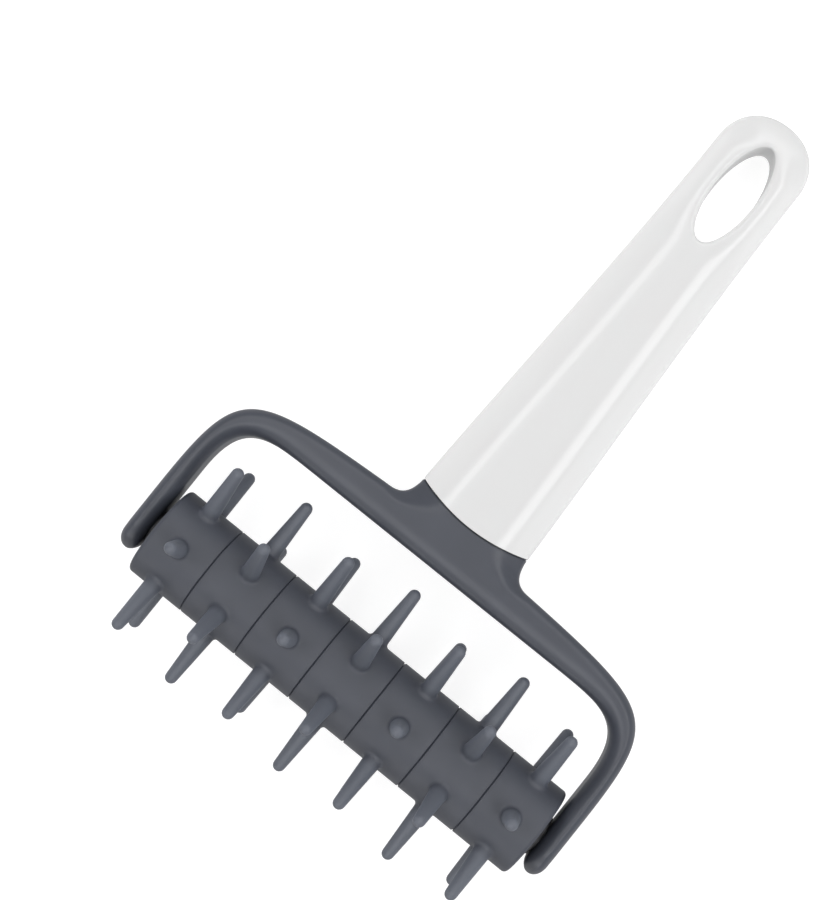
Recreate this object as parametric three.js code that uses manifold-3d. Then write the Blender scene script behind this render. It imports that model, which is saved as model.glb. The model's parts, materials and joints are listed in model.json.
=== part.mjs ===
// A dough docker: seven rings of spikes that roll on one axle, in a yoke with a flat handle.
// Millimetres. While the pieces are made, X runs along the roller, Y towards the handle's end
// and Z up out of the yoke, with the zero point in the middle of the axle.

import * as THREE from 'three';
import { mergeVertices } from 'three/addons/utils/BufferGeometryUtils.js';
import Module from 'manifold-3d';

const wasm = await Module();
wasm.setup();

// Clearances
const seatGap = 0.3;
const runningGap = 0.35;
const cutOverrun = 2;
const leastStep = 0.01;

// Roller rings
const ringCount = 7;
const ringDiameter = 22.4;
const ringEdgeChamfer = 0.35;
const endRingTrim = 0.4;
const endShoulderRadius = 2.2;

// Spikes
const spikesPerRing = 6;
const spikeReach = 25.5;
const spikeBaseDiameter = 4.2;
const spikeTipDiameter = 2.9;
const spikeFlare = 0.6;

// Core and axle
const coreSides = 6;
const coreAcrossFlats = 11;
const coreStandIn = 0.6;
const axleDiameter = 4;

// Bushes
const bushFlangeDiameter = 10;
const bushFlangeLength = 0.6;
const bushSpigotDiameter = 7.4;
const bushSpigotLength = 3;
const bushEndWall = 0.8;

// Yoke
const yokeWidth = 120;
const yokeDepth = 15;
const armThickness = 4.95;
const armTipReach = 7.9;
const barInnerReach = 31.3;
const barThickness = 8.55;
const innerCornerWidth = 20.9;
const innerCornerHeight = 15;
const outerCornerHeight = 32;
const yokeEdgeDepth = 4.2;

// Neck, where the yoke meets the handle
const neckWidth = 29.4;
const neckLength = 6.25;
const seamSagitta = 2.6;
const neckFlareWidth = 5.8;
const tangWidth = 15;
const tangThickness = 7;
const tangLength = 32;

// Handle
const handleReach = 158;
const handleEndWidth = 22.4;
const handleEndLength = 11;
const handleEndThickness = 12.5;
const handleEdgeDepth = 5.4;

// Hanging hole
const holeLength = 26;
const holeWidth = 10;
const holeEndWall = 7;
const holeRimWidth = 1.2;

// Smoothness
const ringSegments = 36;
const spikeSegments = 10;
const tipSteps = 3;
const shoulderSteps = 4;
const boreSegments = 24;
const curveSteps = 10;
const holeSegments = 32;
const edgeSteps = 3;

// Rounded edges are shares of the walls that carry them
const edgeShares = { arm: 0.31, tip: 1.1, handle: 0.32 };
const yokeEdgeInset = armThickness * edgeShares.arm;
const armTipLength = (armThickness / 2) ** 2 / (yokeEdgeInset * edgeShares.tip);
const handleEdgeInset = Math.min(handleEndWidth, 2 * handleEndLength) * edgeShares.handle;

// Curves are pulled towards their corners by shares of the corner's own width and height
const outerCornerShares = { topPull: 0.945, topDrop: 0.246, sidePull: 0.907 };
const innerCornerShares = { sideLeft: 0.02, topLeft: 0.29 };
const neckShares = { flareHeight: 0.9, sidePull: 0.12, sideHeight: 0.15, footPull: 0.4, footDrop: 0.12 };
const handleEndShares = { topPull: 0.57, sidePull: 0.64 };
const handleSideShares = { endPull: 0.68, basePull: 0.75, baseReach: 0.3 };

// Places worked out from the sizes above
const armInnerHalf = yokeWidth / 2 - armThickness;
const bushFlangeFace = armInnerHalf - seatGap - bushFlangeLength;
const rollerHalf = bushFlangeFace - runningGap;
const ringPitch = (2 * (rollerHalf + endRingTrim) + seatGap) / ringCount;
const ringLength = ringPitch - seatGap;
const ringRadius = ringDiameter / 2;
const barOuterReach = barInnerReach + barThickness;
const seamReach = barOuterReach + neckLength;
const evenRingTurn = Math.PI / spikesPerRing;
const tipRadius = spikeTipDiameter / 2;
const pocketHalf = armInnerHalf + bushSpigotLength;
const bushEnd = bushFlangeFace + bushFlangeLength + bushSpigotLength;
const axleHalf = bushEnd - bushEndWall - runningGap;
const holeCentreReach = handleReach - holeEndWall - holeLength / 2;
const handleFlatReach = handleReach - handleEdgeInset;
const handleBlankFoot = seamReach - seamSagitta - 2 * handleEdgeInset;

// The handle gets evenly thinner from the seam to its end.
function handleThicknessAt(reach) {
  const share = (reach - seamReach) / (handleReach - seamReach);
  return yokeDepth + (handleEndThickness - yokeDepth) * share;
}

// At rest the spikes and the far end of the handle's flat face touch the table.
const restLift = spikeReach - tipRadius - handleThicknessAt(handleFlatReach) / 2;
const restSlope = Math.atan2(restLift, handleFlatReach);
const restTilt = restSlope + Math.asin(tipRadius / Math.hypot(restLift, handleFlatReach));

// Solids are closed sets of triangles with shared corners, ready to be joined and cut.
function solidOf(geometry) {
  const bare = geometry.clone();
  bare.deleteAttribute('normal');
  bare.deleteAttribute('uv');
  const merged = mergeVertices(bare);
  const corners = merged.index.array;
  const kept = [];
  for (let i = 0; i < corners.length; i += 3) {
    const [a, b, c] = corners.slice(i, i + 3);
    if (a !== b && b !== c && c !== a) kept.push(a, b, c);
  }
  const triVerts = new Uint32Array(kept);
  const vertProperties = merged.attributes.position.array;
  return new wasm.Manifold(new wasm.Mesh({ numProp: 3, vertProperties, triVerts }));
}

function geometryOf(solid) {
  const mesh = solid.getMesh();
  const geometry = new THREE.BufferGeometry();
  geometry.setAttribute('position', new THREE.BufferAttribute(mesh.vertProperties, 3));
  geometry.setIndex(new THREE.BufferAttribute(mesh.triVerts, 1));
  geometry.computeVertexNormals();
  return geometry;
}

// Materials
const slatePlastic = { color: 0x55585e, roughness: 0.45, metalness: 0 };
const whitePlastic = { color: 0xf0f0ee, roughness: 0.22, metalness: 0 };
const bearingPlastic = { color: 0x2c2d30, roughness: 0.5, metalness: 0 };
const steel = { color: 0xc4c6c8, roughness: 0.3, metalness: 1 };

function piece(name, solid, finish) {
  const mesh = new THREE.Mesh(geometryOf(solid), new THREE.MeshStandardMaterial(finish));
  mesh.name = name;
  return mesh;
}

// Round bars along X, from one end to the other.
function roundBar(diameter, from, to, segments) {
  const bar = new THREE.CylinderGeometry(diameter / 2, diameter / 2, to - from, segments);
  bar.rotateZ(-Math.PI / 2);
  bar.translate((from + to) / 2, 0, 0);
  return solidOf(bar);
}

// The core's flats sit halfway between the spikes of odd and even rings, so that
// one moulded ring makes both kinds when it is put on either way round.
function coreBar(acrossFlats, halfLength) {
  const radius = acrossFlats / 2 / Math.cos(Math.PI / coreSides);
  const bar = new THREE.CylinderGeometry(radius, radius, 2 * halfLength, coreSides);
  bar.rotateZ(-Math.PI / 2);
  bar.rotateX(evenRingTurn / 2);
  return solidOf(bar);
}

// A plate lies flat, with its middle at height zero and its edges rounded over on both faces.
function plate(outline, depth, edgeInset, edgeDepth) {
  const geometry = new THREE.ExtrudeGeometry(outline, {
    depth: depth - 2 * edgeDepth,
    bevelThickness: edgeDepth,
    bevelSize: edgeInset,
    bevelOffset: -edgeInset,
    bevelSegments: edgeSteps,
    curveSegments: curveSteps,
  });
  geometry.translate(0, 0, edgeDepth - depth / 2);
  return geometry;
}

function block(outline, depth) {
  const geometry = new THREE.ExtrudeGeometry(outline, {
    depth,
    bevelEnabled: false,
    curveSegments: curveSteps,
  });
  geometry.translate(0, 0, -depth / 2);
  return solidOf(geometry);
}

// An outline that is the same on both sides is given by its right half, from top to bottom.
function mirroredShape(rightHalf) {
  const isNew = (point, i, all) => i === 0 || point.distanceTo(all[i - 1]) > leastStep;
  const points = rightHalf.getPoints(curveSteps).filter(isNew);
  const offAxis = points.filter((point) => point.x > leastStep);
  const leftHalf = offAxis.map((point) => new THREE.Vector2(-point.x, point.y)).reverse();
  return new THREE.Shape([...points, ...leftHalf]);
}

// Roller rings
function ringProfile(leftEnd, rightEnd, leftEdge, rightEdge) {
  return [
    new THREE.Vector2(0, leftEnd),
    ...leftEdge,
    ...rightEdge,
    new THREE.Vector2(0, rightEnd),
  ];
}

function chamferPoints(end, inwards) {
  return [
    new THREE.Vector2(ringRadius - ringEdgeChamfer, end),
    new THREE.Vector2(ringRadius, end + inwards * ringEdgeChamfer),
  ];
}

function shoulderPoints(end, inwards) {
  const points = [];
  for (let step = 0; step <= shoulderSteps; step += 1) {
    const angle = (step / shoulderSteps) * (Math.PI / 2);
    points.push(new THREE.Vector2(
      ringRadius - endShoulderRadius * (1 - Math.sin(angle)),
      end + inwards * endShoulderRadius * (1 - Math.cos(angle)),
    ));
  }
  return points;
}

function ringBody(isFirst, isLast) {
  const leftEnd = -ringLength / 2 + (isFirst ? endRingTrim : 0);
  const rightEnd = ringLength / 2 - (isLast ? endRingTrim : 0);
  const leftEdge = isFirst ? shoulderPoints(leftEnd, 1) : chamferPoints(leftEnd, 1);
  const rightEdge = isLast ? shoulderPoints(rightEnd, -1) : chamferPoints(rightEnd, -1);
  const profile = ringProfile(leftEnd, rightEnd, leftEdge, rightEdge.reverse());
  const body = new THREE.LatheGeometry(profile, ringSegments);
  body.rotateZ(-Math.PI / 2);
  return solidOf(body);
}

function spikeSolid(turn) {
  const tipCentre = spikeReach - tipRadius;
  const baseRadius = spikeBaseDiameter / 2;
  const flareRadius = baseRadius + spikeFlare;
  const root = Math.sqrt(ringRadius ** 2 - flareRadius ** 2);
  const profile = [
    new THREE.Vector2(0, root - spikeFlare),
    new THREE.Vector2(flareRadius, root - spikeFlare),
    new THREE.Vector2(flareRadius, root),
    new THREE.Vector2(baseRadius, ringRadius + spikeFlare),
  ];
  for (let step = 0; step <= tipSteps; step += 1) {
    const angle = (step / tipSteps) * (Math.PI / 2);
    const reach = tipCentre + tipRadius * Math.sin(angle);
    profile.push(new THREE.Vector2(step < tipSteps ? tipRadius * Math.cos(angle) : 0, reach));
  }
  const spike = new THREE.LatheGeometry(profile, spikeSegments);
  spike.rotateX(Math.PI / 2 - turn);
  return solidOf(spike);
}

function spikeRing(number) {
  const isEven = number % 2 === 0;
  let ring = ringBody(number === 1, number === ringCount);
  for (let spike = 0; spike < spikesPerRing; spike += 1) {
    ring = ring.add(spikeSolid((spike / spikesPerRing) * 2 * Math.PI + (isEven ? evenRingTurn : 0)));
  }
  ring = ring.subtract(coreBar(coreAcrossFlats + 2 * seatGap, ringLength));
  const mesh = piece(`spike_ring_${number}`, ring, slatePlastic);
  mesh.position.x = (number - (ringCount + 1) / 2) * ringPitch;
  return mesh;
}

// Roller core and axle
function rollerCore() {
  const half = rollerHalf - coreStandIn;
  const bore = roundBar(axleDiameter + 2 * seatGap, -rollerHalf, rollerHalf, boreSegments);
  return piece('roller_core', coreBar(coreAcrossFlats, half).subtract(bore), bearingPlastic);
}

function axle() {
  return piece('axle', roundBar(axleDiameter, -axleHalf, axleHalf, boreSegments), steel);
}

// Each bush has a flange against the arm and a spigot in the arm's pocket.
function bush(name, side) {
  const flangeEnd = bushFlangeFace + bushFlangeLength;
  const flange = roundBar(bushFlangeDiameter, bushFlangeFace, flangeEnd, boreSegments);
  const spigot = roundBar(bushSpigotDiameter, bushFlangeFace, bushEnd, boreSegments);
  const boreStart = bushFlangeFace - cutOverrun;
  const bore = roundBar(axleDiameter + 2 * runningGap, boreStart, bushEnd - bushEndWall, boreSegments);
  const mesh = piece(name, flange.add(spigot).subtract(bore), bearingPlastic);
  mesh.rotation.y = side < 0 ? Math.PI : 0;
  return mesh;
}

// Yoke
function yokeOutline() {
  const outerHalf = yokeWidth / 2;
  const cornerTop = neckWidth / 2 + neckFlareWidth;
  const cornerRun = outerHalf - cornerTop;
  const innerStart = armInnerHalf - innerCornerWidth;
  const outerFoot = barOuterReach - outerCornerHeight;
  const tipStart = armTipLength - armTipReach;
  const half = new THREE.Path();
  half.moveTo(0, barOuterReach);
  half.lineTo(cornerTop, barOuterReach);
  half.bezierCurveTo(
    cornerTop + cornerRun * outerCornerShares.topPull,
    barOuterReach - barThickness * outerCornerShares.topDrop,
    outerHalf,
    outerFoot + outerCornerHeight * outerCornerShares.sidePull,
    outerHalf,
    outerFoot,
  );
  half.lineTo(outerHalf, tipStart);
  half.absellipse(outerHalf - armThickness / 2, tipStart, armThickness / 2, armTipLength, 0, -Math.PI, true);
  half.lineTo(armInnerHalf, barInnerReach - innerCornerHeight);
  half.bezierCurveTo(
    armInnerHalf,
    barInnerReach - innerCornerHeight * innerCornerShares.sideLeft,
    armInnerHalf - innerCornerWidth * innerCornerShares.topLeft,
    barInnerReach,
    innerStart,
    barInnerReach,
  );
  half.lineTo(0, barInnerReach);
  return mirroredShape(half);
}

// The neck is as wide as the handle at the seam and flares out into the bar. Its outline
// runs on past the seam and below the bar, where the neck is cut off square.
function neckOutline() {
  const half = new THREE.Path();
  const halfWidth = neckWidth / 2;
  const flareTop = barOuterReach + neckFlareWidth * neckShares.flareHeight;
  half.moveTo(0, seamReach + tangLength / 2);
  half.lineTo(halfWidth, seamReach + tangLength / 2);
  half.lineTo(halfWidth, flareTop);
  half.bezierCurveTo(
    halfWidth + neckFlareWidth * neckShares.sidePull,
    barOuterReach + neckFlareWidth * neckShares.sideHeight,
    halfWidth + neckFlareWidth * neckShares.footPull,
    barOuterReach,
    halfWidth + neckFlareWidth,
    barOuterReach - barThickness * neckShares.footDrop,
  );
  half.lineTo(halfWidth + neckFlareWidth, -yokeDepth);
  half.lineTo(0, -yokeDepth);
  return mirroredShape(half);
}

// The seam is an arc that bulges towards the roller. What is kept lies above or below it.
function seamRegion(keepHandleSide, gap) {
  const halfWidth = neckWidth;
  const drop = (seamSagitta * halfWidth ** 2) / (neckWidth / 2) ** 2;
  const middle = seamReach - seamSagitta + gap;
  const far = keepHandleSide ? handleReach * 2 : -yokeWidth;
  const region = new THREE.Shape();
  region.moveTo(-halfWidth, middle + drop);
  region.quadraticCurveTo(0, middle - drop, halfWidth, middle + drop);
  region.lineTo(yokeWidth, middle + drop);
  region.lineTo(yokeWidth, far);
  region.lineTo(-yokeWidth, far);
  region.lineTo(-yokeWidth, middle + drop);
  return block(region, 2 * yokeDepth);
}

// Seen from the side, each arm ends in a round tip about the axle.
function sideRegion() {
  const side = new THREE.Shape();
  side.moveTo(handleReach, -yokeDepth);
  side.lineTo(handleReach, yokeDepth);
  side.lineTo(0, yokeDepth);
  side.lineTo(0, yokeDepth / 2);
  side.absellipse(0, 0, armTipReach, yokeDepth / 2, Math.PI / 2, (3 * Math.PI) / 2, false);
  side.lineTo(0, -yokeDepth);
  const geometry = new THREE.ExtrudeGeometry(side, {
    depth: 2 * yokeWidth,
    bevelEnabled: false,
    curveSegments: 2 * curveSteps,
  });
  geometry.translate(0, 0, -yokeWidth);
  geometry.rotateX(Math.PI / 2);
  geometry.rotateZ(Math.PI / 2);
  return solidOf(geometry);
}

function tang(gap) {
  const start = barInnerReach + barThickness / 2;
  const end = seamReach + tangLength + gap;
  const box = new THREE.BoxGeometry(tangWidth + 2 * gap, end - start, tangThickness + 2 * gap);
  box.translate(0, (start + end) / 2, 0);
  return solidOf(box);
}

function neck() {
  const blank = solidOf(plate(neckOutline(), yokeDepth, handleEdgeInset, handleEdgeDepth));
  const bottom = barInnerReach + yokeEdgeInset;
  const room = new THREE.BoxGeometry(2 * neckWidth, tangLength, 2 * yokeDepth);
  room.translate(0, bottom + tangLength / 2, 0);
  return blank.intersect(solidOf(room)).intersect(seamRegion(false, -seatGap));
}

function yoke() {
  const fork = solidOf(plate(yokeOutline(), yokeDepth, yokeEdgeInset, yokeEdgeDepth));
  let solid = fork.add(neck()).intersect(sideRegion());
  solid = solid.add(tang(0));
  const pocketDiameter = bushSpigotDiameter + 2 * seatGap;
  solid = solid.subtract(roundBar(pocketDiameter, -pocketHalf, pocketHalf, boreSegments));
  return piece('yoke', solid, slatePlastic);
}

// The handle's blank runs on below the seam, where the seam's arc cuts it off.
function handleOutline() {
  const baseHalf = neckWidth / 2;
  const endHalf = handleEndWidth / 2;
  const endStart = handleReach - handleEndLength;
  const run = endStart - seamReach;
  const taper = baseHalf - endHalf;
  const half = new THREE.Path();
  half.moveTo(0, handleReach);
  half.bezierCurveTo(
    endHalf * handleEndShares.topPull,
    handleReach,
    endHalf,
    endStart + handleEndLength * handleEndShares.sidePull,
    endHalf,
    endStart,
  );
  half.bezierCurveTo(
    endHalf,
    seamReach + run * handleSideShares.endPull,
    endHalf + taper * handleSideShares.basePull,
    seamReach + run * handleSideShares.baseReach,
    baseHalf,
    seamReach,
  );
  half.lineTo(baseHalf, handleBlankFoot);
  half.lineTo(0, handleBlankFoot);
  return mirroredShape(half);
}

function thinTowardsEnd(geometry) {
  const positions = geometry.attributes.position;
  for (let i = 0; i < positions.count; i += 1) {
    const share = handleThicknessAt(positions.getY(i)) / yokeDepth;
    positions.setZ(i, positions.getZ(i) * share);
  }
  return geometry;
}

// The hole's cutter is an oval bar that widens at both faces to round the rims.
function holeCutter() {
  const oval = (grow) => {
    const shape = new THREE.Shape();
    shape.absellipse(0, holeCentreReach, holeWidth / 2 + grow, holeLength / 2 + grow, 0, 2 * Math.PI);
    return new THREE.Shape(shape.getPoints(holeSegments).slice(0, -1));
  };
  const face = handleThicknessAt(holeCentreReach) / 2;
  const rim = (height) => {
    const flare = new THREE.ExtrudeGeometry(oval(holeRimWidth), {
      depth: cutOverrun,
      bevelThickness: 2 * holeRimWidth,
      bevelSize: 2 * holeRimWidth,
      bevelOffset: -holeRimWidth,
      bevelSegments: 1,
    });
    flare.translate(0, 0, height - cutOverrun / 2);
    return solidOf(flare);
  };
  const reach = face + holeRimWidth + cutOverrun / 2;
  return block(oval(0), 2 * yokeDepth).add(rim(reach)).add(rim(-reach));
}

function handle() {
  const blank = plate(handleOutline(), yokeDepth, handleEdgeInset, handleEdgeDepth);
  let solid = solidOf(thinTowardsEnd(blank)).intersect(seamRegion(true, 0));
  solid = solid.subtract(tang(seatGap)).subtract(holeCutter());
  return piece('handle', solid, whitePlastic);
}

// The docker lies on its spikes and on the end of its handle.
function doughDocker() {
  const docker = new THREE.Group();
  docker.name = 'dough_docker';
  const tilted = new THREE.Group();
  tilted.rotation.x = -restTilt;
  tilted.add(handle(), yoke(), bush('left_bush', -1), bush('right_bush', 1), axle(), rollerCore());
  for (let number = 1; number <= ringCount; number += 1) {
    tilted.add(spikeRing(number));
  }
  docker.add(tilted);
  const box = new THREE.Box3().setFromObject(docker, true);
  const centre = box.getCenter(new THREE.Vector3());
  tilted.position.set(-centre.x, -centre.y, -box.min.z);
  return docker;
}

export default doughDocker();
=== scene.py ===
import json
import math

import bmesh
import bpy
import numpy as np
from bpy.props import FloatProperty, FloatVectorProperty, PointerProperty
from bpy.types import Operator, Panel, PropertyGroup
from mathutils import Matrix, Vector
from mathutils.geometry import delaunay_2d_cdt


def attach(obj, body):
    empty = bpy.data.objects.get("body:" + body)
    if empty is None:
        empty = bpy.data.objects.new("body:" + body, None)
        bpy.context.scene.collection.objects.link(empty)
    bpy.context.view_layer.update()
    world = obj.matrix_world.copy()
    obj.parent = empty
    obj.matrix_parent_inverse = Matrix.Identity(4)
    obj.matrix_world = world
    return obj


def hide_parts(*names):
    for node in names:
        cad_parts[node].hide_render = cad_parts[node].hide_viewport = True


bl_info = {
    "name": "Dough docker",
    "version": (1, 0, 0),
    "blender": (4, 5, 0),
    "location": "View3D > Sidebar > Docker",
    "description": "Finished moulded pieces of a hand-held dough docker, with its studio",
    "category": "Add Mesh",
}

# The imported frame. The docker's own directions are X along the roller, Y towards the end of the
# handle and Z up out of the yoke, from the middle of the axle, before it is laid on the table.
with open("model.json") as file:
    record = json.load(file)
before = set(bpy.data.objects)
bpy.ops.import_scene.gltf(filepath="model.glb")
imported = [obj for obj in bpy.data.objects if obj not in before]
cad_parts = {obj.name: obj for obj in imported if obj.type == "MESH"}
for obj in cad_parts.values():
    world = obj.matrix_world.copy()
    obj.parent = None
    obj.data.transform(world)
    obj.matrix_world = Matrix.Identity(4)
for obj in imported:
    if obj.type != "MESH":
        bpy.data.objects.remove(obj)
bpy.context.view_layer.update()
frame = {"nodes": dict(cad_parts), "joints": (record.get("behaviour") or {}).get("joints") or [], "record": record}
MM = 0.001
ROLLER_JOINT = frame["joints"][0]
FACE_AXES = {mount["name"]: Vector(mount["axis"]) for mount in frame["record"]["mounts"]}
UP = (FACE_AXES["handle_front_face"] - FACE_AXES["handle_back_face"]).normalized()
REST_TILT = math.atan2(UP.y, UP.z)
LAID_DOWN = Matrix.Translation(ROLLER_JOINT["pos_m"]) @ Matrix.Rotation(-REST_TILT, 4, "X")
RINGS = sorted(name for name in frame["nodes"] if name.startswith("spike_ring_"))


def cad_box(node):
    """Lowest and highest corner of a CAD node, in the docker's own directions."""
    stood_up = LAID_DOWN.inverted()
    places = np.array([stood_up @ v.co for v in frame["nodes"][node].data.vertices])
    return places.min(0), places.max(0)


BOXES = {name: cad_box(name) for name in frame["nodes"]}
YOKE_LOW, YOKE_HIGH = BOXES["yoke"]
HANDLE_HIGH = BOXES["handle"][1]
AXLE_HIGH = BOXES["axle"][1]
BUSH_LOW, BUSH_HIGH = BOXES["right_bush"]
CORE_HIGH = BOXES["roller_core"][1]
END_RING_HIGH = BOXES[RINGS[-1]][1]
RING_MIDDLES = [(BOXES[name][0][0] + BOXES[name][1][0]) / 2 for name in RINGS]
RING_PITCH = RING_MIDDLES[2] - RING_MIDDLES[1]


def length(name, description, default):
    """A size in metres that a user may change."""
    return FloatProperty(
        name=name, description=description, default=default, min=0.0,
        subtype="DISTANCE", unit="LENGTH",
    )


def share(name, description, default):
    """A plain share or strength that a user may change."""
    return FloatProperty(name=name, description=description, default=default, min=0.0)


def colour(name, description, hex_value):
    """A colour given in sRGB and kept as linear light."""
    return FloatVectorProperty(
        name=name, description=description, default=linear(hex_value), size=4,
        min=0.0, max=1.0, subtype="COLOR",
    )


def linear(hex_value):
    """An sRGB hex colour as linear red, green, blue and alpha."""
    parts = [int(hex_value[i : i + 2], 16) / 255 for i in (1, 3, 5)]
    return [p / 12.92 if p <= 0.04045 else ((p + 0.055) / 1.055) ** 2.4 for p in parts] + [1.0]


class RollerSizes(PropertyGroup):
    """Sizes of the spike rings and of what they turn on."""

    ring_radius: length("Ring radius", "Radius of a ring between its spikes", 11.2 * MM)
    ring_edge: length("Ring edge", "Radius that rounds the edges where two rings meet", 0.15 * MM)
    ring_lip: length("Ring lip", "How far a ring's end steps out below the groove of a joint", 0.14 * MM)
    groove_depth: length("Joint groove depth", "Depth of the groove where two rings meet", 0.2 * MM)
    end_shoulder: length("End shoulder", "Radius of the outer end of the first and last ring", 1.0 * MM)
    spike_reach: length("Spike reach", "From the axle's middle to a spike's tip", END_RING_HIGH[2])
    spike_base: length("Spike base radius", "Radius of a spike just above its foot", 2.1 * MM)
    spike_tip: length("Spike tip radius", "Radius of the round tip", 1.45 * MM)
    spike_foot: length("Spike foot radius", "Radius that blends a spike into its ring", 0.9 * MM)
    bore_flat: length("Bore half width", "From the middle to a flat of the rings' six-sided bore", 5.8 * MM)
    core_flat: length("Core half width", "From the middle to a flat of the six-sided core", 5.5 * MM)
    core_half: length("Core half length", "Half the length of the core", CORE_HIGH[0])
    core_bore: length("Core bore radius", "Radius of the hole through the core", 2.3 * MM)
    axle_radius: length("Axle radius", "Radius of the axle", AXLE_HIGH[2])
    axle_half: length("Axle half length", "Half the length of the axle", AXLE_HIGH[0])
    bush_start: length("Bush start", "From the middle of the roller to the bush's flange", BUSH_LOW[0])
    bush_end: length("Bush end", "From the middle of the roller to the bush's closed end", BUSH_HIGH[0])
    flange_radius: length("Flange radius", "Radius of the bush's flange", BUSH_HIGH[2])
    flange_depth: length("Flange thickness", "Thickness of the bush's flange", 0.6 * MM)
    spigot_radius: length("Spigot radius", "Radius of the bush's spigot in the arm", 3.7 * MM)
    bush_bore: length("Bush bore radius", "Radius of the bush's bore", 2.35 * MM)
    bush_wall: length("Bush end wall", "Thickness of the bush's closed end", 0.8 * MM)


class YokeSizes(PropertyGroup):
    """Sizes of the yoke. Widths are across the roller and reaches are from the axle."""

    half_width: length("Half width", "From the middle to the outside of an arm", YOKE_HIGH[0])
    half_depth: length("Half depth", "From the middle to the yoke's face", YOKE_HIGH[2])
    tip_reach: length("Arm tip reach", "From the axle to the round tip of an arm", -YOKE_LOW[1])
    arm: length("Arm thickness", "Thickness of an arm, seen from the front", 4.95 * MM)
    arm_tip: length("Arm tip length", "Length over which an arm's outline rounds to its tip", 3.63 * MM)
    bar_inner: length("Bar's inner reach", "From the axle to the bar's near edge", 31.3 * MM)
    bar: length("Bar width", "Width of the bar, seen from the front", 8.55 * MM)
    inner_corner: length("Inner corner width", "Width over which the inner corner rounds", 20.9 * MM)
    inner_corner_drop: length("Inner corner height", "Height over which it rounds", 15.0 * MM)
    outer_corner_drop: length("Outer corner height", "Height over which the outer corner rounds", 32.0 * MM)
    neck_flare: length("Neck flare", "Width by which the neck widens into the bar", 5.8 * MM)
    arm_edge: length("Arm edge width", "Width over which an arm's inner edge rounds", 3.2 * MM)
    bar_edge: length("Bar edge width", "Width over which the bar's inner edge rounds", 4.6 * MM)
    outer_share: share("Outer edge share", "How wide the outer edges are, as a share of the inner", 0.6)
    arm_band: length("Arm edge band", "Half height of the flat band along an arm's edges", 3.3 * MM)
    bar_band: length("Bar edge band", "Half height of the flat band along the bar's edges", 4.9 * MM)
    tang_half_width: length("Tang half width", "Half width of the tang in the handle", 7.5 * MM)
    tang_half_depth: length("Tang half thickness", "Half thickness of the tang", 3.5 * MM)
    tang_reach: length("Tang reach", "From the axle to the end of the tang", YOKE_HIGH[1])
    pocket_radius: length("Pocket radius", "Radius of the pocket for a bush", 4.0 * MM)
    pocket_half: length("Pocket reach", "From the middle to the end of a pocket", 57.95 * MM)


class HandleSizes(PropertyGroup):
    """Sizes of the handle and of its seam with the yoke."""

    reach: length("Reach", "From the axle to the end of the handle", HANDLE_HIGH[1])
    seam_half_width: length("Seam half width", "Half the width of the handle at the seam", 14.7 * MM)
    seam_reach: length("Seam reach", "From the axle to the ends of the seam", 46.1 * MM)
    seam_sag: length("Seam sag", "How far the seam's middle bulges towards the roller", 2.6 * MM)
    seam_gap: length("Seam groove", "Width of the groove between the handle and the yoke", 0.45 * MM)
    seam_fit: length("Seam fit", "Gap between the handle and the yoke below the groove", 0.06 * MM)
    seam_depth: length("Seam groove depth", "Depth of the groove along the seam", 0.9 * MM)
    socket_gap: length("Socket gap", "Gap round the tang in its socket", 0.3 * MM)
    end_half_width: length("End half width", "Half the width of the handle near its end", 11.2 * MM)
    end_round: length("End length", "Length over which the end rounds", 11.0 * MM)
    end_half_depth: length("End half thickness", "Half the thickness at the end", 6.25 * MM)
    edge: length("Shoulder width", "Width from the outline to the flat panel", 9.4 * MM)
    edge_band: length("Side band", "Half height of the flat band along the side", 2.0 * MM)
    hole_half_length: length("Hole half length", "Half the length of the oval hole", 13.0 * MM)
    hole_half_width: length("Hole half width", "Half the width of the oval hole", 5.0 * MM)
    hole_wall: length("Hole end wall", "From the hole to the end of the handle", 7.0 * MM)
    hole_collar: length("Hole collar", "Width of the flat face round the hole", 1.2 * MM)
    hole_rim: length("Hole rim radius", "Radius that rounds the hole's rims", 1.0 * MM)


class FinishColours(PropertyGroup):
    """Colours of the pieces."""

    slate: colour("Slate plastic", "Body colour of the yoke and rings", "#3f424b")
    slate_deep: colour("Slate plastic, deep", "Darker tone of its faint mottling", "#383b43")
    # The spikes' paler tone is painted light, for the light that their sides get from the floor and the sides.
    slate_painted_light: colour("Slate plastic, painted light", "Paler tone painted on the spikes as light", "#565a63")
    white: colour("White plastic", "Body colour of the handle", "#d2d3d3")
    white_warm: colour("White plastic, warm", "Warmer tone of its faint clouding", "#d2d1d1")
    bearing: colour("Bearing plastic", "Body colour of the bushes and core", "#26272a")
    steel: colour("Steel", "Colour of the ground axle", "#c9cacc")
    floor: colour("Floor", "Colour of the studio floor", "#a0a0a0")
    floor_light: colour("Floor light", "Colour of the light through the floor", "#ffffff")


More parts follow.
